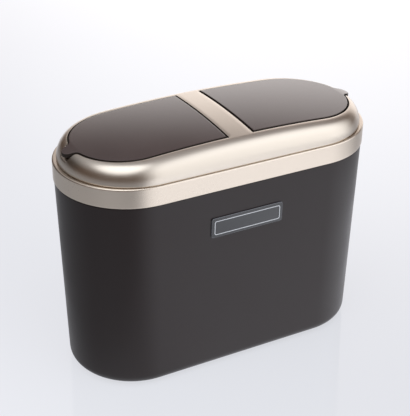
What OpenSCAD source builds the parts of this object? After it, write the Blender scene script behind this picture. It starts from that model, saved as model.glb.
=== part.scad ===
// Car trash bin: an oval drafted bin, a bag ring, a doubly crowned cover and two hinged flaps
// X runs along the bin, the front faces -Y, Z is up, and the origin is the middle of the foot

/* [Overall] */
// Length over the bag ring
bin_length = 200; // [190:1:230]
// Depth over the bag ring, front to back
bin_depth = 88.4; // [87.4:0.2:94]

/* [Bin body] */
// Height of the shoulder that the neck rises from
body_height = 126; // [100:1:170]
// How far the body's wall stays inside the face of the bag ring
body_inset = 0.6; // [0.2:0.1:1]
// How much narrower the body is at its foot, all round
body_taper = 3.4; // [1:0.1:6]
// Rounding of the bottom edge
bottom_round = 8; // [5:0.5:12]
// Thickness of the body's wall and floor
body_wall = 2.2; // [1.8:0.1:2.8]
// Thickness of the neck inside the bag ring
neck_wall = 2; // [1.5:0.1:2.2]
// Height of the foot rim
foot_height = 1.2; // [0.8:0.1:2]
// How far the foot rim stays inside the wall at the foot
foot_inset = 6.5; // [5:0.5:9]
// Thickness of the foot rim
foot_wall = 2; // [1.5:0.1:3]

/* [Bag ring] */
// Height of the ring's face
ring_height = 12; // [9:0.5:14]
// Thickness of the ring's outer wall
ring_wall = 2; // [1.6:0.1:2.4]
// Thickness of the ring's top web
ring_web = 2; // [1.5:0.1:3]
// Rounding of the ring's top edge
ring_round = 0.9; // [0.5:0.1:1.4]
// Shadow gap between the ring and the body's shoulder
ring_seam = 0.4; // [0.2:0.1:0.8]
// Depth of the inner skirt that holds the bag's mouth
skirt_depth = 17; // [14:0.5:25]
// Thickness of the inner skirt
skirt_wall = 1.8; // [1.4:0.1:2.2]
// Room for the folded bag between the neck and the skirt
bag_gap = 0.35; // [0.2:0.05:0.6]
// Clearance between the neck and the ring's outer wall
neck_clearance = 0.15; // [0.05:0.05:0.3]

/* [Cover] */
// Length of the cover at its seam
cover_length = 194.7; // [191:0.1:196]
// Depth of the cover at its seam
cover_depth = 86.5; // [86:0.1:87]
// Rise of the cover's middle above its seam
cover_rise = 16.1; // [14:0.1:22]
// Radius of the crown along the bin
crown_radius_x = 890; // [700:10:1400]
// Radius of the crown across the bin
crown_radius_y = 424; // [350:1:600]
// Width of the rounded shoulder, seen from above
shoulder_width = 8; // [6:0.1:9]
// Thickness of the cover's wall
cover_wall = 2.2; // [1.8:0.1:2.6]
// Depth of the plug wall inside the bag ring
plug_depth = 9; // [6:0.5:14]
// Thickness of the plug wall
plug_wall = 1.8; // [1.4:0.1:2.2]
// Clearance between the plug wall and the bag ring
plug_clearance = 0.25; // [0.15:0.05:0.4]

/* [Flaps] */
// Length over both flaps, without their tabs
flaps_length = 179.6; // [176:0.2:182]
// Depth of a flap
flap_depth = 65.6; // [62:0.2:67]
// Thickness of a flap
flap_thickness = 2.2; // [1.8:0.1:2.6]
// Gap round a flap
flap_gap = 0.8; // [0.5:0.1:1.2]
// Width of the bridge between the flaps
bridge_width = 15.3; // [13:0.1:20]
// Gap between the bridge and a flap's hinge edge
hinge_gap = 1.3; // [1.2:0.1:2]
// Width of the seat that carries a flap's rim
seat_width = 2.2; // [1.6:0.1:3]
// Thickness of the seat
seat_thickness = 2; // [1.5:0.1:2.6]
// Thickness of the wall round a flap's recess
seat_wall = 2.6; // [2.2:0.1:3]
// Clearance between a closed flap and its seat
seat_clearance = 0.3; // [0.2:0.05:0.5]
// Height of the stiffening rib under a flap
rib_height = 3; // [1.5:0.5:5]
// Thickness of the stiffening rib
rib_thickness = 1.4; // [1:0.1:2]
// How far the rib stays inside the flap's edge
rib_inset = 2.6; // [2.4:0.1:5]

/* [Finger tabs] */
// Reach of a tab past the flap's round end
tab_reach = 6.7; // [5:0.1:7.4]
// Radius of a tab's tip
tab_tip_radius = 5; // [4:0.1:6]
// Radius of the flare that blends a tab into the flap
tab_flare_radius = 5; // [3:0.1:8]
// Droop of a tab's tip below the crown
tab_droop = 1; // [0.4:0.1:1.2]
// Slope of the pocket's floor under a tab, in degrees
pocket_slope = 25; // [22:1:30]

/* [Hinges] */
// Diameter of a hinge pin
pin_diameter = 2; // [1.6:0.1:2.4]
// Clearance all round a pin in the flap's knuckles
pin_clearance = 0.05; // [0.03:0.01:0.1]
// Clearance all round a pin in the cover's lugs
pin_seat_clearance = 0.02; // [0.01:0.01:0.03]
// Distance of the pivot from the flap's hinge edge
pivot_setback = 6; // [5.6:0.1:8]
// Depth of the pivot below the crown
pivot_depth = 3.6; // [3.4:0.1:3.8]
// Diameter of a knuckle
knuckle_diameter = 4.4; // [4:0.1:5]
// Length of a knuckle
knuckle_length = 9; // [5:0.5:12]
// Distance between the outer knuckles
knuckle_spacing = 48; // [36:1:50]
// Depth of a pin's end in its lug
pin_seat_depth = 2.6; // [1.5:0.1:2.8]
// Wall of a lug round and past the pin
lug_wall = 0.8; // [0.6:0.1:1.2]
// Half length of a lug along the bin
lug_reach = 3.2; // [2.4:0.1:4]
// Width of the mouth that a pin is snapped in through
mouth_width = 1.7; // [1.2:0.1:1.8]

/* [Front plate] */
// Length of the plate
plate_length = 47.8; // [30:0.1:70]
// Height of the plate
plate_height = 13; // [10.5:0.5:20]
// Thickness of the plate
plate_thickness = 0.8; // [0.5:0.1:2]
// Rounding of the plate's corners
plate_round = 1.5; // [0.5:0.1:2.5]
// Distance of the plate's middle below the body's shoulder
plate_drop = 23.8; // [11:0.1:60]
// Margin between the plate's edge and its raised frame
frame_margin = 1.8; // [1:0.1:3]
// Width of the raised frame
frame_width = 0.7; // [0.4:0.1:1.2]
// Height of the raised frame above the plate
frame_relief = 0.25; // [0.1:0.05:0.6]

/* [Hidden] */
$fn = 96;

// Fineness of the long crown curves
crown_fn = 1080;
// Overrun of a cut past the face that it opens
overrun = 1;
// Steps of the cover's surface: a quarter turn, a straight side, the shoulder and the crown
turn_steps = 12;
side_steps = 10;
shoulder_steps = 9;
crown_steps = 5;

// Outer radius of the round ends, and the distance of their centres from the middle
end_radius = bin_depth / 2;
end_centre = (bin_length - bin_depth) / 2;

// Body radii: at the shoulder and at the foot
body_radius = end_radius - body_inset;
foot_radius = body_radius - body_taper;

// Level of the plate's middle
plate_level = body_height - plate_drop;

// Levels of the ring, and of the seam that the cover sits on
ring_bottom = body_height + ring_seam;
seam_z = ring_bottom + ring_height;
top_z = seam_z + cover_rise;

// Radii of the nested walls inside the ring, from the outside in
neck_radius = end_radius - ring_wall - neck_clearance;
skirt_radius = neck_radius - neck_wall - bag_gap;
plug_radius = skirt_radius - skirt_wall - plug_clearance;

// Round ends of the cover
cover_radius = cover_depth / 2;
cover_centre = (cover_length - cover_depth) / 2;

// Round ends and hinge edge of the flaps
flap_radius = flap_depth / 2;
flap_centre = flaps_length / 2 - flap_radius;
bridge_half = bridge_width / 2;
hinge_edge = bridge_half + hinge_gap;
recess_depth = flap_thickness + seat_clearance;
recess_half = flap_radius + flap_gap;

// Pivot of a flap
pivot_x = hinge_edge + pivot_setback;
pivot_z = crown_z(pivot_x, 0) - pivot_depth;
pin_half = recess_half + pin_seat_depth;

// Tab: centre of its tip, and centre of the flare that touches the tip and the flap's end
tab_x = flaps_length / 2 + tab_reach - tab_tip_radius;
flare_tip = tab_tip_radius + tab_flare_radius;
flare_flap = flap_radius + tab_flare_radius;
tab_offset = tab_x - flap_centre;
flare_along = (pow(flare_flap, 2) - pow(flare_tip, 2) + pow(tab_offset, 2)) / (2 * tab_offset);
flare_x = flap_centre + flare_along;
flare_y = sqrt(pow(flare_flap, 2) - pow(flare_along, 2));

// Start of a tab's flare on the flap's round end, where the pocket's floor begins to fall
pocket_x = flap_centre + flap_radius * flare_along / flare_flap;

// Height of the crown over a point
function crown_z(x, y) = top_z - crown_radius_x
    + sqrt(pow(crown_radius_x - crown_radius_y + sqrt(pow(crown_radius_y, 2) - pow(y, 2)), 2)
        - pow(x, 2));

// Walk round the cover: where each station starts on the middle line, and which way it faces
turn = 90 / turn_steps;
stride = 2 * cover_centre / side_steps;
stations = concat(
    [for (i = [0:turn_steps]) [cover_centre, cos(i * turn), sin(i * turn)]],
    [for (i = [1:side_steps - 1]) [cover_centre - i * stride, 0, 1]],
    [for (i = [turn_steps:3 * turn_steps]) [-cover_centre, cos(i * turn), sin(i * turn)]],
    [for (i = [1:side_steps - 1]) [i * stride - cover_centre, 0, -1]],
    [for (i = [3 * turn_steps:4 * turn_steps - 1]) [cover_centre, cos(i * turn), sin(i * turn)]]
);

// Point at a distance from the middle line, on the crown lowered by a depth
function crown_point(station, reach, depth) =
    let (x = station[0] + reach * station[1], y = reach * station[2])
    [x, y, crown_z(x, y) - depth];

// One loop of the shoulder, which is a quarter ellipse between the seam and the crown
function shoulder_loop(radius, width, depth, rise) = [
    for (station = stations)
        let (rim = crown_point(station, radius, depth),
            point = crown_point(station, radius - width * (1 - cos(rise)), depth))
        [point[0], point[1], point[2] - (rim[2] - seam_z) * (1 - sin(rise))]
];

// One loop of the crown inside the shoulder
function crown_loop(reach, depth) = [for (station = stations) crown_point(station, reach, depth)];

// One level loop that follows the foot of the shoulder
function level_loop(radius, z) = [
    for (station = stations) [station[0] + radius * station[1], radius * station[2], z]
];

// Space under the cover's surface, shrunk by a wall and lengthened below the seam
module crowned_space(shrink, below) {
    radius = cover_radius - shrink;
    width = shoulder_width - shrink;
    narrowing = (radius - width) / (crown_steps + 1);
    loops = concat(
        below > 0 ? [level_loop(radius, seam_z - below)] : [],
        [for (i = [0:shoulder_steps]) shoulder_loop(radius, width, shrink, 90 * i / shoulder_steps)],
        [for (i = [1:crown_steps]) crown_loop(radius - width - i * narrowing, shrink)]
    );
    count = len(stations);
    last = (len(loops) - 1) * count;
    points = [for (loop = loops) each loop];
    foot = [[for (k = [0:count - 1]) k]];
    walls = [
        for (level = [0:len(loops) - 2], k = [0:count - 1])
            let (a = level * count + k, b = level * count + (k + 1) % count)
            each [[a, a + count, b + count], [a, b + count, b]]
    ];
    ridge = [
        for (k = [0:count / 2 - 1])
            let (a = last + k, b = last + k + 1, c = last + (count - k) % count, d = last + count - k - 1)
            each concat(
                k > 0 ? [[b, a, c]] : [],
                k < count / 2 - 1 ? [[b, c, d]] : []
            )
    ];
    polyhedron(points = points, faces = concat(foot, walls, ridge), convexity = 4);
}

// Solid under the crown's exact surface, lowered by a depth
module under_crown(depth) {
    sweep = 4 * asin(bin_length / 2 / crown_radius_x);
    floor_radius = crown_radius_x - 2 * cover_rise;
    translate([0, 0, top_z - crown_radius_x - depth])
        rotate([0, -90, 90])
            rotate([0, 0, -sweep / 2])
                rotate_extrude(angle = sweep, $fn = crown_fn)
                    intersection() {
                        translate([crown_radius_x - crown_radius_y, 0])
                            circle(crown_radius_y, $fn = crown_fn);
                        translate([floor_radius, -bin_depth / 2])
                            square([3 * cover_rise, bin_depth]);
                    }
}

// Section swept round a stadium: two half turns and two straight runs
module stadium_sweep(centre) {
    for (side = [-1, 1]) {
        translate([side * centre, 0, 0])
            rotate([0, 0, -90 * side])
                rotate_extrude(angle = 180)
                    children();
        mirror([0, side < 0 ? 1 : 0, 0])
            translate([-centre, 0, 0])
                rotate([90, 0, 90])
                    linear_extrude(2 * centre)
                        children();
    }
}

// Rectangle in a section, between two radii and two levels
module band(inner, outer, low, high) {
    translate([inner, low])
        square([outer - inner, high - low]);
}

// Half section of a drafted wall with a rounded foot
module drafted_section(foot, top, low, high, round) {
    slope = (top - foot) / (high - low);
    stretch = sqrt(1 + pow(slope, 2));
    centre = foot + slope * round - round * stretch;
    polygon([
        [0, low],
        [centre, low],
        [centre, low + round],
        [centre + round / stretch, low + round - round * slope / stretch],
        [top, high],
        [0, high]
    ]);
    translate([centre, low + round])
        circle(round);
}

// Outline of a flap's round end and straight sides, grown all round, up to an edge at the bridge
module flap_outline(grow, edge) {
    translate([-flap_centre, 0])
        circle(flap_radius + grow);
    translate([-flap_centre, -flap_radius - grow])
        square([flap_centre - edge, 2 * (flap_radius + grow)]);
}

// Outline of a finger tab, grown all round: a round tip with a flare on each side
module tab_outline(grow) {
    steps = 10;
    tip_radius = tab_tip_radius + grow;
    flare_radius = tab_flare_radius - grow;
    tip_turn = atan2(flare_y, flare_x - tab_x);
    flare_step = (tip_turn - atan2(flare_y, flare_along)) / steps;
    half = concat(
        [for (i = [0:steps]) let (a = tip_turn * i / steps)
            [-tab_x - tip_radius * cos(a), tip_radius * sin(a)]],
        [for (i = [1:steps - 1]) let (a = i * flare_step - tip_turn)
            [flare_radius * cos(a) - flare_x, flare_y + flare_radius * sin(a)]]
    );
    polygon(concat(
        half,
        [[-flap_centre, 0]],
        [for (i = [len(half) - 1:-1:1]) [half[i][0], -half[i][1]]]
    ));
}

// Block between the seam and the top, over an outline
module tall(low = seam_z) {
    translate([0, 0, low])
        linear_extrude(top_z + overrun - low)
            children();
}

// Both halves of the cover, or both flaps
module both_sides() {
    children();
    mirror([1, 0, 0])
        children();
}

// Rod along the pivot of the left flap
module pivot_rod(radius, half) {
    translate([-pivot_x, half, pivot_z])
        rotate([90, 0, 0])
            cylinder(r = radius, h = 2 * half);
}

// Solid under the floor of the left tab's pocket: level with the seat, then falling outwards
module under_pocket(depth) {
    reach = bin_length / 2 - pocket_x + cover_rise;
    intersection() {
        under_crown(depth);
        translate([-pocket_x, 0, crown_z(pocket_x, 0) - depth])
            rotate([0, -pocket_slope, 0])
                translate([-reach, -flare_flap, -2 * cover_rise])
                    cube([2 * reach, 2 * flare_flap, 2 * cover_rise]);
    }
}

// Lug that holds one end of the left pin
module pin_lug() {
    translate([-pivot_x - lug_reach, recess_half, pivot_z - pin_diameter / 2 - lug_wall])
        cube([2 * lug_reach, pin_seat_depth + lug_wall, pivot_depth + pin_diameter]);
}

// Walls that stay inside the hollow of the cover's left half
module cover_inner_half() {
    difference() {
        tall(seam_z - overrun)
            flap_outline(flap_gap + seat_wall, bridge_half - seat_wall);
        under_crown(recess_depth + seat_thickness);
    }
    difference() {
        tall(seam_z - overrun)
            translate([-bin_length / 2, -flare_y - seat_wall])
                square([bin_length / 2 - pocket_x + seat_width, 2 * (flare_y + seat_wall)]);
        under_pocket(recess_depth + seat_thickness);
    }
    pin_lug();
    mirror([0, 1, 0])
        pin_lug();
}

// Opening, tab pocket and pin seats of the cover's left half
module cover_cuts_half() {
    difference() {
        tall(seam_z - overrun)
            flap_outline(flap_gap, bridge_half);
        under_crown(recess_depth);
    }
    difference() {
        tall(seam_z - overrun)
            tab_outline(flap_gap);
        under_pocket(recess_depth);
    }
    tall(seam_z - plug_depth)
        flap_outline(flap_gap - seat_width, bridge_half);
    tail_room = pivot_x + knuckle_diameter;
    translate([-tail_room, -recess_half, seam_z - overrun])
        cube([tail_room - bridge_half, 2 * recess_half, cover_rise + 2 * overrun]);
    pivot_rod(pin_diameter / 2 + pin_seat_clearance, pin_half + pin_seat_clearance);
    translate([-pivot_x - mouth_width / 2, -pin_half, pivot_z - pin_diameter - lug_wall])
        cube([mouth_width, 2 * pin_half, pin_diameter + lug_wall]);
}

// One flap, drawn on the left
module flap() {
    difference() {
        union() {
            difference() {
                intersection() {
                    tall()
                        union() {
                            flap_outline(0, hinge_edge);
                            tab_outline(0);
                        }
                    under_crown(0);
                }
                under_crown(flap_thickness);
            }
            flap_rib();
            for (y = [-knuckle_spacing / 2, 0, knuckle_spacing / 2])
                translate([0, y, 0])
                    knuckle();
        }
        pivot_rod(pin_diameter / 2 + pin_clearance, pin_half);
        tab_slope();
    }
}

// Stiffening rib that follows the flap's rim
module flap_rib() {
    difference() {
        intersection() {
            tall()
                difference() {
                    flap_outline(-rib_inset, pivot_x + knuckle_diameter);
                    flap_outline(-rib_inset - rib_thickness, pivot_x + knuckle_diameter + rib_thickness);
                }
            under_crown(flap_thickness / 2);
        }
        under_crown(flap_thickness + rib_height);
    }
}

// Knuckle that turns on the pin, with its root in the flap
module knuckle() {
    reach = (knuckle_spacing + knuckle_length) / 2;
    drop = crown_z(pivot_x, 0) - crown_z(pivot_x, reach);
    root = (flap_thickness + drop) / 2;
    pivot_rod(knuckle_diameter / 2, knuckle_length / 2);
    translate([-pivot_x - knuckle_diameter / 2, -knuckle_length / 2, pivot_z])
        cube([knuckle_diameter, knuckle_length, pivot_depth - root]);
}

// Wedge that lets the tab droop towards its tip
module tab_slope() {
    start = flaps_length / 2;
    tilt = atan2(tab_droop, tab_reach);
    fall = atan2(start, crown_radius_x);
    translate([-start, 0, crown_z(start, 0)])
        rotate([0, -tilt - fall, 0])
            translate([-3 * tab_reach, -3 * tab_tip_radius, 0])
                cube([3 * tab_reach, 6 * tab_tip_radius, cover_rise]);
}

// Rectangle with round corners, centred
module rounded_plate(length, height, round) {
    square([length - 2 * round, height], center = true);
    square([length, height - 2 * round], center = true);
    for (x = [-1, 1], y = [-1, 1])
        translate([x * (length / 2 - round), y * (height / 2 - round)])
            circle(round, $fn = 32);
}

// Drafted bin with its floor, neck and foot rim in one moulding
module bin_body() color([0.24, 0.21, 0.21])
    stadium_sweep(end_centre) {
        difference() {
            union() {
                drafted_section(foot_radius, body_radius, foot_height, body_height, bottom_round);
                band(0, neck_radius, body_height - body_wall, seam_z - ring_web);
                band(foot_radius - foot_inset - foot_wall, foot_radius - foot_inset,
                    0, foot_height + body_wall / 2);
            }
            drafted_section(foot_radius - body_wall, body_radius - body_wall,
                foot_height + body_wall, body_height - body_wall, bottom_round - body_wall);
            band(0, neck_radius - neck_wall, body_height - 2 * body_wall, seam_z);
        }
    }

// Bag ring: a channel over the neck, with a skirt that traps the bag's mouth
module bag_ring() color([0.82, 0.74, 0.62])
    stadium_sweep(end_centre) {
        difference() {
            union() {
                band(end_radius - ring_wall, end_radius, ring_bottom, seam_z);
                band(skirt_radius - skirt_wall, end_radius, seam_z - ring_web, seam_z);
                band(skirt_radius - skirt_wall, skirt_radius, seam_z - skirt_depth, seam_z);
            }
            band(end_radius - ring_round, end_radius + overrun, seam_z - ring_round, seam_z + overrun);
        }
        translate([end_radius - ring_round, seam_z - ring_round])
            circle(ring_round, $fn = 32);
    }

// Cover: a crowned shell with a shoulder, a bridge, two seats, tab pockets, lugs and a plug wall
module lid_cover() color([0.82, 0.74, 0.62]) {
    difference() {
        union() {
            difference() {
                crowned_space(0, 0);
                difference() {
                    crowned_space(cover_wall, overrun);
                    union() {
                        both_sides()
                            cover_inner_half();
                        stadium_sweep(end_centre)
                            band(plug_radius - plug_wall, plug_radius, seam_z - 2 * overrun, top_z);
                    }
                }
            }
            stadium_sweep(end_centre)
                band(plug_radius - plug_wall, plug_radius, seam_z - plug_depth, seam_z + overrun);
        }
        both_sides()
            cover_cuts_half();
    }
}

// Left flap with its tab
module left_flap() color([0.42, 0.37, 0.36])
    flap();

// Right flap with its tab
module right_flap() color([0.42, 0.37, 0.36])
    mirror([1, 0, 0])
        flap();

// Pin of the left flap
module left_hinge_pin() color([0.75, 0.75, 0.77])
    pivot_rod(pin_diameter / 2, pin_half);

// Pin of the right flap
module right_hinge_pin() color([0.75, 0.75, 0.77])
    mirror([1, 0, 0])
        pivot_rod(pin_diameter / 2, pin_half);

// Bare plate with a raised frame, flat on the drafted front wall
module front_plate() color([0.15, 0.14, 0.15]) {
    slope = body_taper / (body_height - foot_height);
    wall_radius = foot_radius + (plate_level - foot_height) * slope;
    translate([0, -wall_radius, plate_level])
        rotate([90 + atan(slope), 0, 0]) {
            linear_extrude(plate_thickness)
                rounded_plate(plate_length, plate_height, plate_round);
            linear_extrude(plate_thickness + frame_relief)
                difference() {
                    rounded_plate(plate_length - 2 * frame_margin,
                        plate_height - 2 * frame_margin, plate_round);
                    rounded_plate(plate_length - 2 * frame_margin - 2 * frame_width,
                        plate_height - 2 * frame_margin - 2 * frame_width, plate_round - frame_width / 2);
                }
        }
}

bin_body();
bag_ring();
lid_cover();
left_flap();
right_flap();
left_hinge_pin();
right_hinge_pin();
front_plate();
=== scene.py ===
import math

import bmesh
import bpy
from mathutils import Matrix, Vector


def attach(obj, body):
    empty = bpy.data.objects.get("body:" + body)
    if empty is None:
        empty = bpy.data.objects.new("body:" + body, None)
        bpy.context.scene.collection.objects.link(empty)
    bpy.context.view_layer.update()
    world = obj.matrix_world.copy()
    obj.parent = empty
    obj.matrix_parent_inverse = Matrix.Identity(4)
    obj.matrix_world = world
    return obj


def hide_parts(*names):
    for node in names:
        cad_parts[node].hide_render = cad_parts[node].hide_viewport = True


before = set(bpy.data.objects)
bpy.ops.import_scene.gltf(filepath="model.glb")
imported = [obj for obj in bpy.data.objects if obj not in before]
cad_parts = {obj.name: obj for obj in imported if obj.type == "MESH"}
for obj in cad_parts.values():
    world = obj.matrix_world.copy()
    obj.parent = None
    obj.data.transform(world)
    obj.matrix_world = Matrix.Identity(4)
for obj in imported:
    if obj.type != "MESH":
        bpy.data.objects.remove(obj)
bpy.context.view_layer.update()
print("frame loaded:", ", ".join(sorted(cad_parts)))

# lengths in the dictionaries are millimetres, as in the part's source
mm = 0.001

# what the pieces share: distances that count as none, and how edges are mitred, rounded and shaded
shared = {
    "zero": 1e-6,
    "same": 1e-4,
    "near": 0.001,
    "close": 0.01,
    "mirrorWeld": 0.004,
    "mitreLimit": 0.3,
    "edgeTurns": (30, 60, 90),
    "sharpAngle": 35,
}

# the camera first: where it stands, what it looks at and how it is turned
camera = {
    "target": (-4.93, 0, 89.76),
    "azimuth": -28.24,
    "elevation": 29.12,
    "roll": 0.48,
    "distance": 685.52,
    "focal": 96.93,
    "sensor": 36,
    "clipStart": 10,
    "clipEnd": 20000,
}


def placeCamera(size):
    azimuth = math.radians(size["azimuth"])
    elevation = math.radians(size["elevation"])
    back = Vector((
        math.sin(azimuth) * math.cos(elevation),
        -math.cos(azimuth) * math.cos(elevation),
        math.sin(elevation),
    ))
    side = Vector((0, 0, 1)).cross(back).normalized()
    upward = back.cross(side)
    roll = math.radians(size["roll"])
    sideTurned = math.cos(roll) * side + math.sin(roll) * upward
    upTurned = -math.sin(roll) * side + math.cos(roll) * upward
    lens = bpy.data.cameras.new("studioCamera")
    lens.sensor_fit = "HORIZONTAL"
    lens.sensor_width = size["sensor"]
    lens.lens = size["focal"]
    lens.clip_start = size["clipStart"] * mm
    lens.clip_end = size["clipEnd"] * mm
    eye = bpy.data.objects.new("studioCamera", lens)
    place = Matrix((sideTurned, upTurned, back)).transposed().to_4x4()
    place.translation = (Vector(size["target"]) + size["distance"] * back) * mm
    eye.matrix_world = place
    bpy.context.scene.collection.objects.link(eye)
    bpy.context.scene.camera = eye


placeCamera(camera)
print("camera placed")


# helpers for wires, sweeps and finished pieces

def finishPiece(bm, name, body, replaced, finishes):
    # turned outwards, smooth but for its real edges, and scaled to metres in its mesh
    sharpAngle = math.radians(shared["sharpAngle"])
    bmesh.ops.recalc_face_normals(bm, faces=bm.faces)
    for face in bm.faces:
        face.smooth = True
    for edge in bm.edges:
        edge.smooth = not (edge.is_manifold and edge.calc_face_angle(0) > sharpAngle)
    bmesh.ops.scale(bm, vec=(mm, mm, mm), verts=bm.verts)
    mesh = bpy.data.meshes.new(name)
    bm.to_mesh(mesh)
    bm.free()
    for finish in finishes:
        mesh.materials.append(finish)
    piece = bpy.data.objects.new(name, mesh)
    bpy.context.scene.collection.objects.link(piece)
    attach(piece, body)
    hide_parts(replaced)
    print("piece made:", name, len(mesh.polygons), "faces")
    return piece


def vertsOf(geom):
    return [v for v in geom if isinstance(v, bmesh.types.BMVert)]


def edgesAmong(geom, verts):
    # the edges that run between these vertices
    among = set(verts)
    return [e for e in geom if isinstance(e, bmesh.types.BMEdge)
            and e.verts[0] in among and e.verts[1] in among]


def drawWire(bm, points):
    # an open wire through a few points
    verts = [bm.verts.new(point) for point in points]
    for first, second in zip(verts, verts[1:]):
        bm.edges.new((first, second))
    return verts


def roundCorner(bm, place, size, segments):
    # rounds one corner of a wire, found by its place
    corner = min(bm.verts, key=lambda v: (v.co - Vector(place)).length)
    bmesh.ops.bevel(bm, geom=[corner], offset=size, offset_type="OFFSET", segments=segments,
                    profile=0.5, affect="VERTICES", clamp_overlap=True, material=-1)


def roundEdges(bm, edges, size, segments):
    # rounds the edges of a block and gives the new faces
    return bmesh.ops.bevel(bm, geom=edges, offset=size, offset_type="OFFSET", segments=segments,
                           profile=0.5, affect="EDGES", clamp_overlap=True, material=-1)["faces"]


def sweepOval(bm, centre, steps, runs):
    # a wire section at x = centre, facing the front, goes once round the oval
    ends = list(bm.verts) + list(bm.edges)
    for turn in (1, -1):
        ends = bmesh.ops.spin(bm, geom=ends, cent=(turn * centre, 0, 0), axis=(0, 0, 1),
                              angle=math.pi, steps=steps, use_duplicate=False)["geom_last"]
        for run in range(runs):
            edges = [e for e in ends if isinstance(e, bmesh.types.BMEdge)]
            made = bmesh.ops.extrude_edge_only(bm, edges=edges)["geom"]
            verts = vertsOf(made)
            bmesh.ops.translate(bm, verts=verts, vec=(-turn * 2 * centre / runs, 0, 0))
            ends = verts + edgesAmong(made, verts)
    bmesh.ops.remove_doubles(bm, verts=bm.verts, dist=shared["close"])


def grow(bm, edges, move):
    # extrudes edges and lets move(vertex, itsOrigin) place each new vertex
    origins = {v for e in edges for v in e.verts}
    made = bmesh.ops.extrude_edge_only(bm, edges=edges)["geom"]
    fresh = vertsOf(made)
    for vert in fresh:
        origin = next(e.other_vert(vert) for e in vert.link_edges if e.other_vert(vert) in origins)
        move(vert, origin)
    return edgesAmong(made, fresh)


def outwardAt(vert, centre):
    # mitred direction of a flat wire at a vertex, away from a centre point
    ways = [(e.other_vert(vert).co - vert.co).normalized() for e in vert.link_edges
            if abs(e.other_vert(vert).co.z - vert.co.z) < shared["same"]]
    if len(ways) == 1:
        ways.append(Vector((ways[0].x, -ways[0].y, 0)))
    along = ways[0] - ways[1]
    if along.length < shared["zero"]:
        along = ways[0]
    normal = Vector((-along.y, along.x, 0)).normalized()
    if normal.dot(vert.co - centre) < 0:
        normal.negate()
    half = abs(normal.dot(Vector((-ways[0].y, ways[0].x, 0))))
    return normal / max(half, shared["mitreLimit"])


def offsetFrom(bm, centre, pinned):
    # steps in or out from the flat wire that a bmesh holds, each vertex along its mitred direction
    outward = {v: outwardAt(v, centre) for v in bm.verts}
    outward.update(pinned)
    place = {v: v.co.copy() for v in bm.verts}

    def stepTo(outset, level):
        def move(vert, origin):
            outward[vert], place[vert] = outward[origin], place[origin]
            vert.co = place[vert] + outward[vert] * outset
            vert.co.z = level
        return move

    return stepTo


def roundOver(bm, edges, stepTo, rounding, way):
    # a rounded edge from an upright wall to a level top, outwards at 1 and inwards at -1
    for turn in shared["edgeTurns"]:
        angle = math.radians(turn)
        outset = way * rounding * (1 - math.cos(angle))
        edges = grow(bm, edges, stepTo(outset, rounding * (math.sin(angle) - 1)))
    return edges


def chainTo(bm, vert, place, steps=1):
    # goes on from an end vertex to a place, in equal steps
    stride = (Vector(place) - vert.co) / steps
    for step in range(steps):
        vert = bmesh.ops.extrude_vert_indiv(bm, verts=[vert])["verts"][0]
        bmesh.ops.translate(bm, verts=[vert], vec=stride)
    return vert


def chainRound(bm, vert, centre, degrees, steps):
    # goes on from an end vertex along an arc
    spun = bmesh.ops.spin(bm, geom=[vert], cent=centre, axis=(0, 0, 1),
                          angle=math.radians(degrees), steps=steps, use_duplicate=False)
    return vertsOf(spun["geom_last"])[-1]


def mirrorAll(bm, axis, older=frozenset()):
    # the other half of all that isn't older, welded to the first
    verts = [v for v in bm.verts if v not in older]
    edges = [e for e in bm.edges if e.verts[0] not in older]
    faces = [f for f in bm.faces if f.verts[0] not in older]
    bmesh.ops.mirror(bm, geom=verts + edges + faces, matrix=Matrix.Identity(4), merge_dist=0, axis=axis)
    halves = [v for v in bm.verts if v not in older]
    bmesh.ops.remove_doubles(bm, verts=halves, dist=shared["mirrorWeld"])


# the crown that the cover and the flaps share, and the cover's rounded shoulder

crown = {
    "top": 154.5,
    "alongRadius": 890,
    "acrossRadius": 424,
    "seam": 138.4,
    "outlineCentre": 54.1,
    "outlineRadius": 43.25,
    "shoulder": 8,
}


def crownHeight(x, y):
    across = math.sqrt(crown["acrossRadius"] ** 2 - y * y)
    reach = crown["alongRadius"] - crown["acrossRadius"] + across
    return crown["top"] - crown["alongRadius"] + math.sqrt(reach ** 2 - x * x)


def spineOf(x):
    return max(-crown["outlineCentre"], min(crown["outlineCentre"], x))


def outlinePoint(x, y):
    # where a line from the spine through this point meets the cover's outline
    spine = spineOf(x)
    away = Vector((x - spine, y, 0)).normalized()
    return Vector((spine, 0, 0)) + away * crown["outlineRadius"]


def shoulderHeight(x, y):
    inset = crown["outlineRadius"] - math.hypot(x - spineOf(x), y)
    if inset >= crown["shoulder"]:
        return crownHeight(x, y)
    share = 1 - max(inset, 0) / crown["shoulder"]
    edge = outlinePoint(x, y)
    fall = crownHeight(edge.x, edge.y) - crown["seam"]
    return crownHeight(x, y) - fall * (1 - math.sqrt(1 - share ** 2))


# body: one moulding with its floor, neck and foot rim

body = {
    "endCentre": 55.8,
    "turnSteps": 48,
    "runs": 6,
    "footRadius": 40.2,
    "topRadius": 43.6,
    "footLevel": 1.2,
    "shoulderLevel": 126,
    "footRound": 8,
    "edgeRound": 0.5,
    "wall": 2.2,
    "neckOuter": 42.05,
    "neckInner": 40.05,
    "neckTop": 136.4,
    "rimOuter": 33.7,
    "rimInner": 31.7,
    "support": 1.2,
    "floorSegments": 8,
    "footSegments": 14,
    "edgeSegments": 4,
    "neckSegments": 3,
}


def draftOf(size):
    # how far the wall leans out for each millimetre of height
    return (size["topRadius"] - size["footRadius"]) / (size["shoulderLevel"] - size["footLevel"])


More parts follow.
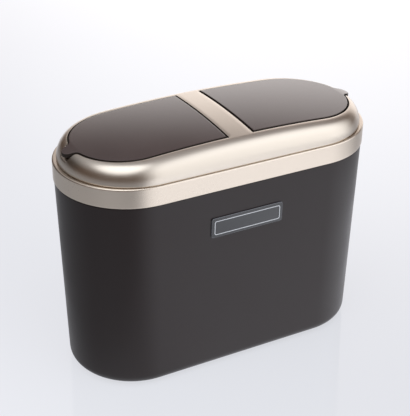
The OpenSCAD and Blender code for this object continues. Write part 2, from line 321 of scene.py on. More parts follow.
def makeBody(size, finish):
    centre = size["endCentre"]
    wall = size["wall"]
    floorTop = size["footLevel"] + wall
    innerTop = size["shoulderLevel"] - wall
    slope = draftOf(size)
    supportLevel = size["footLevel"] + size["footRound"] + size["support"]

    def at(radius, level):
        return (centre, -radius, level)

    bm = bmesh.new()
    drawWire(bm, [
        at(0, floorTop),
        at(size["footRadius"] - wall - size["footRound"], floorTop),
        at(size["footRadius"] - wall, floorTop),
        at(size["topRadius"] - wall, innerTop),
        at(size["neckInner"], innerTop),
        at(size["neckInner"], size["neckTop"]),
        at(size["neckOuter"], size["neckTop"]),
        at(size["neckOuter"], size["shoulderLevel"]),
        at(size["topRadius"], size["shoulderLevel"]),
        at(size["topRadius"] - slope * size["support"], size["shoulderLevel"] - size["support"]),
        at(size["footRadius"] + slope * supportLevel, supportLevel),
        at(size["footRadius"], size["footLevel"]),
        at(size["rimOuter"], size["footLevel"]),
        at(size["rimOuter"], 0),
        at(size["rimInner"], 0),
        at(size["rimInner"], size["footLevel"]),
        at(0, size["footLevel"]),
    ])
    innerCorner = at(size["footRadius"] - wall, floorTop)
    roundCorner(bm, innerCorner, size["footRound"] - wall, size["floorSegments"])
    footCorner = at(size["footRadius"], size["footLevel"])
    roundCorner(bm, footCorner, size["footRound"], size["footSegments"])
    shoulderCorner = at(size["topRadius"], size["shoulderLevel"])
    roundCorner(bm, shoulderCorner, size["edgeRound"], size["edgeSegments"])
    neckCorner = at(size["neckOuter"], size["neckTop"])
    roundCorner(bm, neckCorner, size["edgeRound"], size["neckSegments"])
    sweepOval(bm, centre, size["turnSteps"], size["runs"])
    return finishPiece(bm, "binBody", "bin", "bin_body", [finish])


# bag ring: outer wall with a rounded lip, top web and the skirt that traps the bag

ring = {
    "endCentre": 55.8,
    "turnSteps": 48,
    "runs": 6,
    "outer": 44.2,
    "inner": 42.2,
    "bottom": 126.4,
    "top": 138.4,
    "lipRound": 0.9,
    "footRound": 0.35,
    "web": 2,
    "skirtOuter": 39.7,
    "skirtInner": 37.9,
    "skirtBottom": 121.4,
    "support": 0.5,
    "footSegments": 3,
    "lipSegments": 6,
}


def makeRing(size, finish):
    centre = size["endCentre"]

    def at(radius, level):
        return (centre, -radius, level)

    bm = bmesh.new()
    wire = drawWire(bm, [
        at(size["inner"], size["bottom"]),
        at(size["outer"], size["bottom"]),
        at(size["outer"], size["bottom"] + size["footRound"] + size["support"]),
        at(size["outer"], size["top"] - size["lipRound"] - size["support"]),
        at(size["outer"], size["top"]),
        at(size["outer"] - size["lipRound"] - size["support"], size["top"]),
        at(size["skirtInner"], size["top"]),
        at(size["skirtInner"], size["skirtBottom"]),
        at(size["skirtOuter"], size["skirtBottom"]),
        at(size["skirtOuter"], size["top"] - size["web"]),
        at(size["inner"], size["top"] - size["web"]),
    ])
    bm.edges.new((wire[-1], wire[0]))
    roundCorner(bm, at(size["outer"], size["bottom"]), size["footRound"], size["footSegments"])
    roundCorner(bm, at(size["outer"], size["top"]), size["lipRound"], size["lipSegments"])
    sweepOval(bm, centre, size["turnSteps"], size["runs"])
    return finishPiece(bm, "bagRing", "bin", "bag_ring", [finish])


# flaps: a crowned plate with a drooping finger tab, a rib and three knuckles

flap = {
    "centre": 57,
    "radius": 32.65,
    "thickness": 2.2,
    "lift": 0.22,
    "hingeEdge": 8.95,
    "edgeRound": 0.12,
    "paintedShadeShare": 0.25,
    "support": 0.6,
    "tabCentre": 91.5,
    "tabRadius": 4.85,
    "flareRadius": 5.15,
    "droopStart": 88,
    "droop": 1.1,
    "droopPower": 1.5,
    "tipEnd": 96.35,
    "sideSteps": 16,
    "endSteps": 40,
    "flareSteps": 8,
    "tipSteps": 14,
    "crossCuts": 14,
    "crossSlack": 0.002,
    "crossLeast": 1,
    "ribRadius": 30.2,
    "ribWall": 1.4,
    "ribHeight": 3,
    "ribStart": 19.35,
    "ribSunk": 0.1,
    "ribHingeSteps": 8,
    "ribSideSteps": 10,
    "ribEndSteps": 24,
    "pivotX": 14.95,
    "pivotZ": 150.774,
    "knuckleRadius": 2.2,
    "knuckleLength": 9,
    "knuckleSteps": 20,
    "knucklePlaces": (-24, 0, 24),
}


def tabTangents(size):
    # where the flare between the round end and the tab sits, and how far each arc turns
    flareFlap = size["radius"] + size["flareRadius"]
    flareTip = size["tabRadius"] + size["flareRadius"]
    offset = size["tabCentre"] - size["centre"]
    along = (flareFlap ** 2 - flareTip ** 2 + offset ** 2) / (2 * offset)
    rise = math.sqrt(flareFlap ** 2 - along ** 2)
    flareX = size["centre"] + along
    endAngle = math.degrees(math.atan2(rise, along))
    tipAngle = math.degrees(math.atan2(rise, flareX - size["tabCentre"]))
    return flareX, rise, endAngle, tipAngle


def droopAt(x):
    share = (abs(x) - flap["droopStart"]) / (flap["tipEnd"] - flap["droopStart"])
    return flap["droop"] * max(0, min(1, share)) ** flap["droopPower"]


def makeFlap(size, name, replaced, side, finish, paintedShadeFinish):
    flareX, flareY, endAngle, tipAngle = tabTangents(size)
    middle = -size["thickness"] / 2
    bm = bmesh.new()
    start = bm.verts.new((-size["hingeEdge"], 0, middle))
    vert = chainTo(bm, start, (-size["hingeEdge"], size["radius"], middle))
    vert = chainTo(bm, vert, (-size["centre"], size["radius"], middle), size["sideSteps"])
    vert = chainRound(bm, vert, (-size["centre"], 0, 0), 90 - endAngle, size["endSteps"])
    vert = chainRound(bm, vert, (-flareX, flareY, 0), endAngle - tipAngle, size["flareSteps"])
    vert = chainRound(bm, vert, (-size["tabCentre"], 0, 0), tipAngle, size["tipSteps"])
    vert.co.y = 0
    ends = {start: Vector((1, 0, 0)), vert: Vector((-1, 0, 0))}
    stepTo = offsetFrom(bm, Vector((-size["centre"], 0, 0)), ends)
    rounding = size["edgeRound"]
    edges = grow(bm, list(bm.edges), stepTo(0, -rounding))
    edges = roundOver(bm, edges, stepTo, rounding, -1)
    edges = grow(bm, edges, stepTo(-rounding - size["support"], 0))
    rails = [e for e in edges if abs(e.verts[0].co.x - e.verts[1].co.x) > shared["same"]]

    def toMiddle(vert, origin):
        vert.co = (origin.co.x, 0, 0)

    grow(bm, rails, toMiddle)
    bmesh.ops.remove_doubles(bm, verts=bm.verts, dist=shared["near"])
    across = [e for e in bm.edges if abs(e.verts[0].co.x - e.verts[1].co.x) < size["crossSlack"]
              and abs(e.verts[0].co.y - e.verts[1].co.y) > size["crossLeast"]]
    bmesh.ops.subdivide_edges(bm, edges=across, cuts=size["crossCuts"], use_grid_fill=True)
    # the lower half is the mirror image; it is made about zero, because mirror welds what lies there
    bmesh.ops.translate(bm, verts=bm.verts, vec=(0, 0, -middle))
    mirrorAll(bm, "Z")
    bmesh.ops.translate(bm, verts=bm.verts, vec=(0, 0, middle))
    mirrorAll(bm, "Y")
    # only the top keeps the satin finish; the edge and the underside take the darker brown, painted
    # shade that darkens the gap around the flap
    for face in bm.faces:
        if face.calc_center_median().z < -size["edgeRound"] * size["paintedShadeShare"]:
            face.material_index = 1
    for v in bm.verts:
        v.co.z += crownHeight(v.co.x, v.co.y) - droopAt(v.co.x) + size["lift"]
    plain = set(bm.faces)
    addRib(bm, size)
    for place in size["knucklePlaces"]:
        addKnuckle(bm, size, place)
    # the rib and the knuckles under the plate take the same darker brown, painted shade
    for face in bm.faces:
        if face not in plain:
            face.material_index = 1
    if side > 0:
        bmesh.ops.scale(bm, vec=(-1, 1, 1), verts=bm.verts)
    return finishPiece(bm, name, replaced, replaced, [finish, paintedShadeFinish])


def addRib(bm, size):
    # a band under the plate that follows its rim
    older = set(bm.verts)
    level = -size["thickness"] + size["ribSunk"]
    start = bm.verts.new((-size["ribStart"], 0, level))
    vert = chainTo(bm, start, (-size["ribStart"], size["ribRadius"], level), size["ribHingeSteps"])
    vert = chainTo(bm, vert, (-size["centre"], size["ribRadius"], level), size["ribSideSteps"])
    vert = chainRound(bm, vert, (-size["centre"], 0, 0), 90, size["ribEndSteps"])
    vert.co.y = 0
    heart = Vector((-size["centre"], 0, 0))
    outward = {v: outwardAt(v, heart) for v in bm.verts if v not in older}
    outward[start] = Vector((1, 0, 0))
    outward[vert] = Vector((-1, 0, 0))
    edges = [e for e in bm.edges if e.verts[0] not in older and e.verts[1] not in older]

    def inward(vert, origin):
        vert.co = origin.co - outward[origin] * size["ribWall"]

    grow(bm, edges, inward)
    faces = [f for f in bm.faces if f.verts[0] not in older]
    lower = bmesh.ops.extrude_face_region(bm, geom=faces)["geom"]
    bmesh.ops.translate(bm, verts=vertsOf(lower), vec=(0, 0, -size["ribHeight"]))
    # the two ends on the middle line stay open, so that the halves join as one band
    ends = [f for f in bm.faces if f.verts[0] not in older
            and max(abs(v.co.y) for v in f.verts) < shared["same"]]
    bmesh.ops.delete(bm, geom=ends, context="FACES_ONLY")
    mirrorAll(bm, "Y", older)
    for v in bm.verts:
        if v not in older:
            v.co.z += crownHeight(v.co.x, v.co.y)


def addKnuckle(bm, size, place):
    # an arch that hangs from the plate and turns on the pin
    older = set(bm.verts)
    radius = size["knuckleRadius"]
    root = crownHeight(size["pivotX"], abs(place)) - size["thickness"] / 2 - size["pivotZ"]
    start = bm.verts.new((-radius, root, 0))
    vert = chainTo(bm, start, (-radius, 0, 0))
    vert = chainRound(bm, vert, (0, 0, 0), 180, size["knuckleSteps"])
    chainTo(bm, vert, (radius, root, 0))
    face = bmesh.ops.contextual_create(bm, geom=[v for v in bm.verts if v not in older])["faces"]
    made = bmesh.ops.extrude_face_region(bm, geom=face)["geom"]
    bmesh.ops.translate(bm, verts=vertsOf(made), vec=(0, 0, size["knuckleLength"]))
    fresh = [v for v in bm.verts if v not in older]
    bmesh.ops.rotate(bm, verts=fresh, cent=(0, 0, 0), matrix=Matrix.Rotation(math.pi / 2, 3, "X"))
    bmesh.ops.translate(bm, verts=fresh,
                        vec=(-size["pivotX"], place + size["knuckleLength"] / 2, size["pivotZ"]))


# cover: crowned rim with a rounded shoulder, a bridge, two openings with seats and tab pockets

cover = {
    "recessRadius": 33.75,
    "bridgeHalf": 7.65,
    "tabRadius": 5.95,
    "flareRadius": 4.05,
    "sillRadius": 42.05,
    "sillRound": 0.35,
    "edgeRound": 0.15,
    "recessDepth": 2.5,
    "pocketStart": 88.7,
    "pocketSlope": 25,
    "seatInner": 31.4,
    "seatStart": 19.35,
    "throatDepth": 4.7,
    "bridgeRungs": 18,
    "bridgeCuts": 3,
    "hingeSteps": 6,
    "sideSteps": 16,
    "endSteps": 40,
    "flareSteps": 8,
    "tipSteps": 8,
    "sillSteps": 6,
    "seatSteps": 5,
    "columns": 16,
    "wall": 2.2,
    "innerInset": 1.6,
    "innerDrop": 1.5,
    "seamGap": 0.45,
    "seamInset": 0.8,
    "footRound": 0.15,
    "footShare": 0.3,
    "plugCentre": 55.8,
    "plugOuter": 37.65,
    "plugInner": 35.85,
    "plugBottom": 129.4,
    "plugEmbed": 1.2,
    "plugTurnSteps": 48,
    "plugRuns": 12,
    "lugReach": 3.2,
    "lugLength": 3.4,
    "lugDrop": 1.8,
    "lugRound": 0.5,
    "lugSegments": 2,
}


def seatHeight(x, y):
    # the seat follows the crown, and the floor of a tab's pocket falls away from it
    start = cover["pocketStart"]
    fall = math.tan(math.radians(cover["pocketSlope"])) * (abs(x) - start)
    return min(crownHeight(x, y), crownHeight(start, 0) - fall) - cover["recessDepth"]


def sillHeight(x, y):
    # where the pocket's floor runs out through the shoulder, with a small round
    floor = seatHeight(x, y)
    shoulder = shoulderHeight(x, y)
    return (floor + shoulder - math.hypot(floor - shoulder, cover["sillRound"])) / 2


def makeCover(size, finish, paintedShadeFinish):
    flareX, flareY, endAngle, tipAngle = tabTangents(flap)
    heart = Vector((-flap["centre"], 0, 0))
    bm = bmesh.new()
    start = bm.verts.new((-size["bridgeHalf"], 0, 0))
    vert = chainTo(bm, start, (-size["bridgeHalf"], size["recessRadius"], 0), size["bridgeRungs"])
    vert = chainTo(bm, vert, (-size["seatStart"], size["recessRadius"], 0), size["hingeSteps"])
    vert = chainTo(bm, vert, (-flap["centre"], size["recessRadius"], 0), size["sideSteps"])
    vert = chainRound(bm, vert, heart, 90 - endAngle, size["endSteps"])
    vert = chainRound(bm, vert, (-flareX, flareY, 0), endAngle - tipAngle, size["flareSteps"])
    # the pocket's tip runs until it meets the sill inside the outline
    reach = flap["tabCentre"] - crown["outlineCentre"]
    excess = size["sillRadius"] ** 2 - reach ** 2 - size["tabRadius"] ** 2
    sillAngle = math.degrees(math.acos(excess / (2 * reach * size["tabRadius"])))
    tipCentre = (-flap["tabCentre"], 0, 0)
    vert = chainRound(bm, vert, tipCentre, tipAngle - sillAngle, size["tipSteps"])
    corner = vert.co.copy()
    polar = math.degrees(math.atan2(vert.co.y, -vert.co.x - crown["outlineCentre"]))
    vert = chainRound(bm, vert, (-crown["outlineCentre"], 0, 0), polar, size["sillSteps"])
    vert.co.y = 0
    stepTo = offsetFrom(bm, heart, {start: Vector((1, 0, 0)), vert: Vector((-1, 0, 0))})
    contour = list(bm.edges)
    rounding = size["edgeRound"]

    # the rounded edge of the opening, then the rim out to the cover's outline
    for v in bm.verts:
        v.co.z = -rounding
    edges = roundOver(bm, contour, stepTo, rounding, 1)
    edges = [e for e in edges if min(e.verts[0].co.y, e.verts[1].co.y) > size["recessRadius"]
             or min(e.verts[0].co.x, e.verts[1].co.x) < -size["seatStart"]]
    rimStart = {v: v.co.copy() for e in edges for v in e.verts}

    def rimStep(share):
        def move(vert, origin):
            rimStart[vert] = rimStart[origin]
            target = outlinePoint(rimStart[vert].x, rimStart[vert].y)
            vert.co = rimStart[vert].lerp(target, share)
            vert.co.z = 0
        return move

    for column in range(1, size["columns"] + 1):
        share = math.sin(math.pi / 2 * column / size["columns"])
        edges = grow(bm, edges, rimStep(share))
    outlineEdges = edges
    # across the bridge to the middle
    bridgeX = -size["bridgeHalf"] + rounding
    rungs = [e for e in bm.edges if e.is_boundary and abs(e.verts[0].co.z) < shared["same"]
             and max(abs(v.co.x - bridgeX) for v in e.verts) < shared["near"]]

    def bridgeStep(share):
        def move(vert, origin):
            vert.co.x = bridgeX * (1 - share)
        return move

    for cut in range(1, size["bridgeCuts"] + 1):
        rungs = grow(bm, rungs, bridgeStep(cut / size["bridgeCuts"]))
    farY = crown["outlineRadius"] - shared["close"]
    outlineEdges += [e for e in bm.edges if e.is_boundary and e not in outlineEdges
                     and min(e.verts[0].co.y, e.verts[1].co.y) > farY]
    for v in bm.verts:
        # the round fades where the pocket's wall runs out, and past its corner the sill takes over
        if v.co.x < corner.x + rounding and v.co.y < corner.y + rounding:
            v.co.z = sillHeight(v.co.x, v.co.y)
        else:
            wall = shoulderHeight(v.co.x, v.co.y) - seatHeight(v.co.x, v.co.y)
            fade = max(0, min(1, wall / (2 * rounding))) if v.co.z < 0 else 1
            v.co.z = shoulderHeight(v.co.x, v.co.y) + v.co.z * fade

    # the seam under the rim: a small round, a groove and the foot
    def footStep(inset, level):
        def move(vert, origin):
            target = outlinePoint(origin.co.x, origin.co.y)
            spine = Vector((spineOf(origin.co.x), 0, 0))
            vert.co = target + (spine - target).normalized() * inset
            vert.co.z = crown["seam"] + level
        return move

    for v in {v for e in outlineEdges for v in e.verts}:
        v.co.z = crown["seam"] + size["seamGap"] + size["footRound"]
    bend = size["footRound"] * size["footShare"]
    edges = grow(bm, outlineEdges, footStep(bend, size["seamGap"] + bend))
    edges = grow(bm, edges, footStep(size["footRound"], size["seamGap"]))
    edges = grow(bm, edges, footStep(size["seamInset"], size["seamGap"]))
    edges = grow(bm, edges, footStep(size["seamInset"], 0))

    # the opening's wall, then the seat, which is also the floor of the tab's pocket
    outside = set(bm.faces)

    def wallFoot(vert, origin):
        if vert.co.x < corner.x + shared["near"] and vert.co.y < corner.y + shared["near"]:
            vert.co.x += size["sillRound"]
        vert.co.z = min(seatHeight(vert.co.x, vert.co.y), sillHeight(vert.co.x, vert.co.y))

    foot = grow(bm, contour, wallFoot)
    seatLimit = shared["close"] - size["seatStart"]
    throatLimit = -shared["close"] - size["seatStart"]
    seat = [e for e in foot if max(e.verts[0].co.x, e.verts[1].co.x) < seatLimit]
    throat = [e for e in foot if min(e.verts[0].co.x, e.verts[1].co.x) > throatLimit]
    seatFrom = {v: v.co.copy() for e in seat for v in e.verts}

    def seatStep(share):
        def move(vert, origin):
            seatFrom[vert] = seatFrom[origin]
            base = seatFrom[vert]
            target = Vector((base.x, size["seatInner"], 0))
            if base.x < heart.x:
                flat = Vector((base.x - heart.x, base.y, 0)).normalized()
                target = heart + flat * size["seatInner"]
            vert.co = base.lerp(target, share)
            vert.co.z = seatHeight(vert.co.x, vert.co.y)
        return move

    for step in range(1, size["seatSteps"] + 1):
        seat = grow(bm, seat, seatStep(step / size["seatSteps"]))

    def throatStep(vert, origin):
        vert.co.z = crownHeight(vert.co.x, vert.co.y) - size["throatDepth"]

    grow(bm, throat, throatStep)
    # the walls and seats inside an opening take a darker brown, painted shade for the gap around each
    # flap, but a tab's pocket is finished as the outside
    for face in bm.faces:
        if face not in outside and face.calc_center_median().x > -size["pocketStart"]:
            face.material_index = 1
    mirrorAll(bm, "Y")
    mirrorAll(bm, "X")
    bmesh.ops.recalc_face_normals(bm, faces=bm.faces)
    crest = max(bm.faces, key=lambda f: f.calc_center_median().z)
    if crest.normal.z < 0:
        bmesh.ops.reverse_faces(bm, faces=bm.faces)
    bm, inner = thicken(bm, size["wall"])
    for v in inner:
        # the inner skin stays inside the outline and under the shoulder
        spine = Vector((spineOf(v.co.x), 0, v.co.z))
        away = v.co - spine
        reach = crown["outlineRadius"] - size["innerInset"]
        if away.length > reach:
            v.co = spine + away.normalized() * reach
        v.co.z = min(v.co.z, shoulderHeight(v.co.x, v.co.y) - size["innerDrop"])
    addPlug(bm, size)
    addLugs(bm, size)
    return finishPiece(bm, "lidCover", "bin", "lid_cover", [finish, paintedShadeFinish])


def thicken(bm, wall):
    # gives an open skin its wall, inwards, and tells which vertices are the inner ones
    outerCount = len(bm.verts)
    skin = bpy.data.meshes.new("skin")
    bm.to_mesh(skin)
    bm.free()
    holder = bpy.data.objects.new("skin", skin)
    bpy.context.scene.collection.objects.link(holder)
    solid = holder.modifiers.new("wall", "SOLIDIFY")
    solid.thickness = wall
    solid.offset = -1
    solid.use_even_offset = False
    ready = holder.evaluated_get(bpy.context.evaluated_depsgraph_get())
    thick = bmesh.new()
    thick.from_mesh(ready.to_mesh())
    bpy.data.objects.remove(holder)
    bpy.data.meshes.remove(skin)
    return thick, list(thick.verts)[outerCount:]


def addPlug(bm, size):
    # the wall that drops into the ring, its top buried in the cover's own wall
    wall = bmesh.new()

    def at(radius, level):
        return (size["plugCentre"], -radius, level)

    wire = drawWire(wall, [
        at(size["plugInner"], size["plugBottom"]),
        at(size["plugOuter"], size["plugBottom"]),
        at(size["plugOuter"], crown["top"]),
        at(size["plugInner"], crown["top"]),
    ])
    wall.edges.new((wire[-1], wire[0]))
    sweepOval(wall, size["plugCentre"], size["plugTurnSteps"], size["plugRuns"])
    for v in wall.verts:
        if v.co.z > crown["seam"]:
            v.co.z = shoulderHeight(v.co.x, v.co.y) - size["plugEmbed"]
            if abs(v.co.y) < 2 * size["tabRadius"] and abs(v.co.x) > size["pocketStart"]:
                v.co.z = min(v.co.z, seatHeight(v.co.x, v.co.y) - size["plugEmbed"])
    mergeInto(bm, wall)


def addLugs(bm, size):
    # four small blocks that hold the pins' ends
    top = crownHeight(flap["pivotX"], size["recessRadius"]) - size["wall"] / 2
    low = flap["pivotZ"] - size["lugDrop"]
    middleY = size["recessRadius"] + size["lugLength"] / 2
    for sideX in (-1, 1):
        for sideY in (-1, 1):
            block = bmesh.new()
            bmesh.ops.create_cube(block, size=1)
            span = (2 * size["lugReach"], size["lugLength"], top - low)
            bmesh.ops.scale(block, vec=span, verts=block.verts)
            roundEdges(block, list(block.edges), size["lugRound"], size["lugSegments"])
            place = (sideX * flap["pivotX"], sideY * middleY, (top + low) / 2)
            bmesh.ops.translate(block, verts=block.verts, vec=place)
            mergeInto(bm, block)


def mergeInto(bm, other):
    # joins a closed part to a piece that is being made
    bmesh.ops.recalc_face_normals(other, faces=other.faces)
    passing = bpy.data.meshes.new("passing")
    other.to_mesh(passing)
    other.free()
    bm.from_mesh(passing)
    bpy.data.meshes.remove(passing)


# front plate: bare field in a raised bright frame, flat on the drafted wall

plate = {
    "length": 47.8,
    "height": 13,
    "thickness": 0.8,
    "cornerRound": 1.5,
    "edgeRound": 0.2,
    "frameMargin": 1.8,
    "frameRound": 1.4,
    "frameWidth": 0.6,
    "frameSlope": 0.08,
    "frameRelief": 0.25,
    "frameSunk": 0.1,
    "level": 102.2,
    "cornerSegments": 6,
    "edgeSegments": 3,
    "frameSegments": 5,
}


def makePlate(size, fieldFinish, frameFinish, highlightEdgeFinish):
    slope = draftOf(body)
    wallRadius = body["footRadius"] + (size["level"] - body["footLevel"]) * slope
    bm = bmesh.new()
    bmesh.ops.create_cube(bm, size=1)
    bmesh.ops.scale(bm, vec=(size["length"], size["height"], size["thickness"]), verts=bm.verts)
    bmesh.ops.translate(bm, verts=bm.verts, vec=(0, 0, size["thickness"] / 2))
    uprights = [e for e in bm.edges if abs(e.verts[0].co.z - e.verts[1].co.z) > shared["same"]]
    roundEdges(bm, uprights, size["cornerRound"], size["cornerSegments"])
    frontLevel = size["thickness"] - shared["same"]
    rim = [e for e in bm.edges if min(e.verts[0].co.z, e.verts[1].co.z) > frontLevel]
    # the plate's rounded rim takes a lighter grey metal, a painted highlight along the outline
    for face in roundEdges(bm, rim, size["edgeRound"], size["edgeSegments"]):
        face.material_index = 2
    mergeInto(bm, makeFrame(size))
    tilt = math.pi / 2 + math.atan(slope)
    bmesh.ops.rotate(bm, verts=bm.verts, cent=(0, 0, 0), matrix=Matrix.Rotation(tilt, 3, "X"))
    bmesh.ops.translate(bm, verts=bm.verts, vec=(0, -wallRadius, size["level"]))
    return finishPiece(bm, "frontPlate", "bin", "front_plate",
                       [fieldFinish, frameFinish, highlightEdgeFinish])


def makeFrame(size):
    # the raised line: a closed ring whose foot is sunk in the plate
    line = bmesh.new()
    foot = size["thickness"] - size["frameSunk"]
    crest = size["thickness"] + size["frameRelief"]
    halfLength = size["length"] / 2 - size["frameMargin"]
    halfHeight = size["height"] / 2 - size["frameMargin"]
    corners = [(-halfLength, -halfHeight, foot), (halfLength, -halfHeight, foot),
               (halfLength, halfHeight, foot), (-halfLength, halfHeight, foot)]
    wire = drawWire(line, corners)
    line.edges.new((wire[-1], wire[0]))
    for corner in corners:
        roundCorner(line, corner, size["frameRound"], size["frameSegments"])
    stepTo = offsetFrom(line, Vector((0, 0, foot)), {})
    outer = list(line.edges)
    edges = grow(line, outer, stepTo(-size["frameSlope"], crest))
    edges = grow(line, edges, stepTo(size["frameSlope"] - size["frameWidth"], crest))
    inner = grow(line, edges, stepTo(-size["frameWidth"], foot))
    bmesh.ops.bridge_loops(line, edges=outer + inner)
    for face in line.faces:
        face.material_index = 1
    return line


# helpers for nodes

def addMath(nodes, links, operation, first, second):
    # the second value is a socket or a number
    made = nodes.new("ShaderNodeMath")
    made.operation = operation
    links.new(first, made.inputs[0])
    if isinstance(second, bpy.types.NodeSocket):
        links.new(second, made.inputs[1])
    else:
        made.inputs[1].default_value = second
    return made.outputs["Value"]


def addRange(nodes, links, value, fromMin, fromMax, toMin=0, toMax=1):
    made = nodes.new("ShaderNodeMapRange")
    made.inputs["From Min"].default_value = fromMin
    made.inputs["From Max"].default_value = fromMax
    made.inputs["To Min"].default_value = toMin
    made.inputs["To Max"].default_value = toMax
    links.new(value, made.inputs["Value"])
    return made


def addNoise(nodes, links, where, scale, detail):
    made = nodes.new("ShaderNodeTexNoise")
    made.inputs["Scale"].default_value = scale
    made.inputs["Detail"].default_value = detail
    links.new(where.outputs["Object"], made.inputs["Vector"])
    return made.outputs["Fac"]


# finishes: every one has grain, a drifting gloss and a slight change of tone

surface = {
    "driftDetail": 4,
    "grainDetail": 2,
    "toneStart": 0.3,
    "toneEnd": 0.7,
    "glossStart": 0.1,
    "glossEnd": 0.45,
    "bumpStrength": 0.5,
}


def newFinish(name, colour, roughness, metallic=0.0, specular=0.5, coat=0.0, coatRoughness=0.1,
              grainScale=1800, grainDepth=0.02, toneShift=0.06, glossShift=0.06, driftScale=35):
    # scales are per metre, and the grain's depth is in millimetres
    finish = bpy.data.materials.new(name)
    finish.use_nodes = True
    nodes, links = finish.node_tree.nodes, finish.node_tree.links
    shader = nodes["Principled BSDF"]
    shader.inputs["Metallic"].default_value = metallic
    shader.inputs["Specular IOR Level"].default_value = specular
    shader.inputs["Coat Weight"].default_value = coat
    shader.inputs["Coat Roughness"].default_value = coatRoughness
    where = nodes.new("ShaderNodeTexCoord")
    drift = addNoise(nodes, links, where, driftScale, surface["driftDetail"])
    grain = addNoise(nodes, links, where, grainScale, surface["grainDetail"])
    tone = nodes.new("ShaderNodeValToRGB")
    darker, paler = tone.color_ramp.elements
    darker.position = surface["toneStart"]
    darker.color = [c * (1 - toneShift) for c in colour] + [1]
    paler.position = surface["toneEnd"]
    paler.color = [min(1, c * (1 + toneShift)) for c in colour] + [1]
    links.new(drift, tone.inputs["Fac"])
    links.new(tone.outputs["Color"], shader.inputs["Base Color"])
    blend = addMath(nodes, links, "MULTIPLY", drift, grain)
    gloss = addRange(nodes, links, blend, surface["glossStart"], surface["glossEnd"],
                     roughness - glossShift, roughness + glossShift)
    links.new(gloss.outputs["Result"], shader.inputs["Roughness"])
    bump = nodes.new("ShaderNodeBump")
    bump.inputs["Strength"].default_value = surface["bumpStrength"]
    bump.inputs["Distance"].default_value = grainDepth * mm
    links.new(grain, bump.inputs["Height"])
    links.new(bump.outputs["Normal"], shader.inputs["Normal"])
    return finish


matteBrown = newFinish("matteBrownPlastic", (0.0200, 0.0118, 0.0118), roughness=0.36, specular=0.46,
                       grainDepth=0.03)
satinBrown = newFinish("satinBrownPlastic", (0.063, 0.040, 0.038), roughness=0.15, specular=1.0,
                       coat=0.2, glossShift=0.04)
# a darker brown for the insides of the openings and the flaps' edges and undersides: painted shade that
# stands in for the shade in the gaps between cover and flaps
paintedShadeBrown = newFinish("paintedShadeBrownPlastic", (0.03, 0.022, 0.018), roughness=0.5, specular=0.25)
champagne = newFinish("champagneSatin", (0.70, 0.63, 0.55), roughness=0.3, metallic=1.0, coat=0.3,
                      coatRoughness=0.12, toneShift=0.02, glossShift=0.02, grainDepth=0.006)
champagneRing = newFinish("champagneRing", (0.77, 0.68, 0.585), roughness=0.3, metallic=1.0,
                          toneShift=0.02, glossShift=0.03, grainDepth=0.003)
brightSteel = newFinish("brightSteel", (0.62, 0.62, 0.63), roughness=0.22, metallic=1.0)
darkField = newFinish("darkPlateField", (0.03, 0.032, 0.038), roughness=0.22, coat=0.5)
silverLine = newFinish("silverFrame", (0.6, 0.61, 0.63), roughness=0.3, metallic=1.0)
# a painted highlight for the front plate's rim
paintedHighlightGrey = newFinish("paintedHighlightPlateEdge", (0.2, 0.2, 0.22), roughness=0.3, metallic=0.8)

makeBody(body, matteBrown)
makeRing(ring, champagneRing)
makeCover(cover, champagne, paintedShadeBrown)
makeFlap(flap, "leftFlap", "left_flap", -1, satinBrown, paintedShadeBrown)
makeFlap(flap, "rightFlap", "right_flap", 1, satinBrown, paintedShadeBrown)
makePlate(plate, darkField, silverLine, paintedHighlightGrey)
for node in ("left_hinge_pin", "right_hinge_pin"):
    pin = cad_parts[node]
    pin.data.materials.clear()
    pin.data.materials.append(brightSteel)


# studio: a pale glossy floor under a dim sky with soft boxes and flags

studio = {
    "floorSize": 6000,
    "floorLit": (0.19, 0.20, 0.21),
    "floorShown": (0.88, 0.89, 0.94),
    "floorGlow": 0.72,
    "floorCoat": 0.5,
    "backdrop": (0.80, 0.81, 0.86),
    "floorGloss": 1.36,
    "floorReach": 500,
    "floorStops": ((0, 0.26), (0.36, 0.26), (0.48, 0.97), (0.72, 0.97), (0.86, 0.36)),
    "fadeFrom": -300,
    "fadeTo": 500,
    "fadeLeft": 1.12,
    "fadeRight": 0.87,
    "floorRoughness": 0.03,
    "floorSpecular": 1.0,
    "skyLow": (0.115, 0.077, 0.056),
    "skyHigh": (0.54, 0.54, 0.56),
    "skyStart": 0.35,
    "skyEnd": 0.85,
}

# each soft box: azimuth from the back towards +x, elevation, inner and outer half angle,
# strength and colour; a flag is one that takes light away
softBoxes = {
    "frontLeftTop": (-128, 61, 22, 34, 1.4, (0.92, 0.96, 1.0)),
    "frontRight": (138, 15, 10, 52, 1.5, (0.92, 0.96, 1.0)),
    "backRightLow": (40, 0, 14, 40, 1.4, (1.0, 0.97, 0.96)),
    "rightFlag": (60, 50, 10, 40, -0.16, (0.90, 1.03, 1.1)),
    "leftFlag": (-40, 15, 8, 36, -0.7, (0.115, 0.077, 0.056)),
}


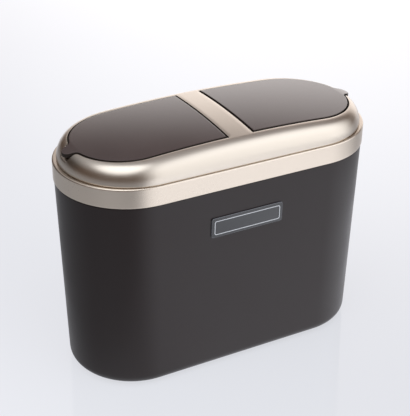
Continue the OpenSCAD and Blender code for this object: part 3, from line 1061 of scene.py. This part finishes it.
def makeFloor(size):
    bm = bmesh.new()
    bmesh.ops.create_grid(bm, x_segments=1, y_segments=1, size=size["floorSize"] * mm)
    mesh = bpy.data.meshes.new("studioFloor")
    bm.to_mesh(mesh)
    bm.free()
    floor = bpy.data.objects.new("studioFloor", mesh)
    bpy.context.scene.collection.objects.link(floor)
    finish = bpy.data.materials.new("studioFloor")
    finish.use_nodes = True
    nodes, links = finish.node_tree.nodes, finish.node_tree.links
    shader = nodes["Principled BSDF"]
    shader.inputs["Base Color"].default_value = (*size["floorLit"], 1)
    shader.inputs["Roughness"].default_value = size["floorRoughness"]
    shader.inputs["Specular IOR Level"].default_value = size["floorSpecular"]
    shader.inputs["Coat Weight"].default_value = size["floorCoat"]
    # the floor glows to the camera, less towards the right, and in gloss with one bright band,
    # while its lit part keeps the shadow
    path = nodes.new("ShaderNodeLightPath")
    where = nodes.new("ShaderNodeTexCoord")
    split = nodes.new("ShaderNodeSeparateXYZ")
    links.new(where.outputs["Object"], split.inputs["Vector"])
    reach = size["floorReach"] * mm
    along = addRange(nodes, links, split.outputs["X"], -reach, reach)
    band = nodes.new("ShaderNodeValToRGB")
    band.color_ramp.interpolation = "EASE"
    stops = band.color_ramp.elements
    stops.remove(stops[1])
    for place, tone in size["floorStops"]:
        stop = stops[0] if place == 0 else stops.new(place)
        stop.color = (tone, tone, tone, 1)
    links.new(along.outputs["Result"], band.inputs["Fac"])
    gloss = addMath(nodes, links, "MULTIPLY", band.outputs["Color"], size["floorGloss"])
    mirrored = addMath(nodes, links, "MAXIMUM", path.outputs["Is Glossy Ray"],
                       path.outputs["Is Transmission Ray"])
    dimmed = addMath(nodes, links, "MULTIPLY", mirrored, gloss)
    fade = addRange(nodes, links, split.outputs["X"], size["fadeFrom"] * mm, size["fadeTo"] * mm,
                    size["fadeLeft"], size["fadeRight"])
    seen = addMath(nodes, links, "MULTIPLY", path.outputs["Is Camera Ray"], fade.outputs["Result"])
    shown = addMath(nodes, links, "MAXIMUM", seen, dimmed)
    glow = addMath(nodes, links, "MULTIPLY", shown, size["floorGlow"])
    shader.inputs["Emission Color"].default_value = (*size["floorShown"], 1)
    links.new(glow, shader.inputs["Emission Strength"])
    mesh.materials.append(finish)


def makeSky(size, boxes):
    world = bpy.data.worlds.new("studioSky")
    bpy.context.scene.world = world
    world.use_nodes = True
    nodes, links = world.node_tree.nodes, world.node_tree.links
    where = nodes.new("ShaderNodeTexCoord")
    split = nodes.new("ShaderNodeSeparateXYZ")
    links.new(where.outputs["Generated"], split.inputs["Vector"])
    rise = addRange(nodes, links, split.outputs["Z"], size["skyStart"], size["skyEnd"])
    ramp = nodes.new("ShaderNodeValToRGB")
    ramp.color_ramp.elements[0].color = (*size["skyLow"], 1)
    ramp.color_ramp.elements[1].color = (*size["skyHigh"], 1)
    links.new(rise.outputs["Result"], ramp.inputs["Fac"])
    total = ramp.outputs["Color"]
    for box in boxes.values():
        total = addSoftBox(nodes, links, where, total, *box)
    links.new(total, nodes["Background"].inputs["Color"])
    # the camera sees a pale backdrop behind the floor's far edge
    path = nodes.new("ShaderNodeLightPath")
    backdrop = nodes.new("ShaderNodeBackground")
    backdrop.inputs["Color"].default_value = (*size["backdrop"], 1)
    either = nodes.new("ShaderNodeMixShader")
    links.new(path.outputs["Is Camera Ray"], either.inputs["Fac"])
    links.new(nodes["Background"].outputs["Background"], either.inputs[1])
    links.new(backdrop.outputs["Background"], either.inputs[2])
    links.new(either.outputs["Shader"], nodes["World Output"].inputs["Surface"])


def addSoftBox(nodes, links, where, total, azimuth, elevation, inner, outer, strength, colour):
    # a round patch of the sky that is brighter or darker, with a soft edge
    level = math.radians(elevation)
    turn = math.radians(azimuth)
    facing = nodes.new("ShaderNodeVectorMath")
    facing.operation = "DOT_PRODUCT"
    facing.inputs[1].default_value = (
        math.cos(level) * math.sin(turn), math.cos(level) * math.cos(turn), math.sin(level))
    links.new(where.outputs["Generated"], facing.inputs[0])
    edge = addRange(nodes, links, facing.outputs["Value"], math.cos(math.radians(outer)),
                    math.cos(math.radians(inner)), 0, strength)
    edge.interpolation_type = "SMOOTHSTEP"
    tint = nodes.new("ShaderNodeVectorMath")
    tint.operation = "SCALE"
    tint.inputs[0].default_value = colour
    links.new(edge.outputs["Result"], tint.inputs["Scale"])
    added = nodes.new("ShaderNodeVectorMath")
    added.operation = "ADD"
    links.new(total, added.inputs[0])
    links.new(tint.outputs["Vector"], added.inputs[1])
    return added.outputs["Vector"]


makeFloor(studio)
makeSky(studio, softBoxes)
print("studio lit")

bpy.context.scene.view_settings.view_transform = "Standard"
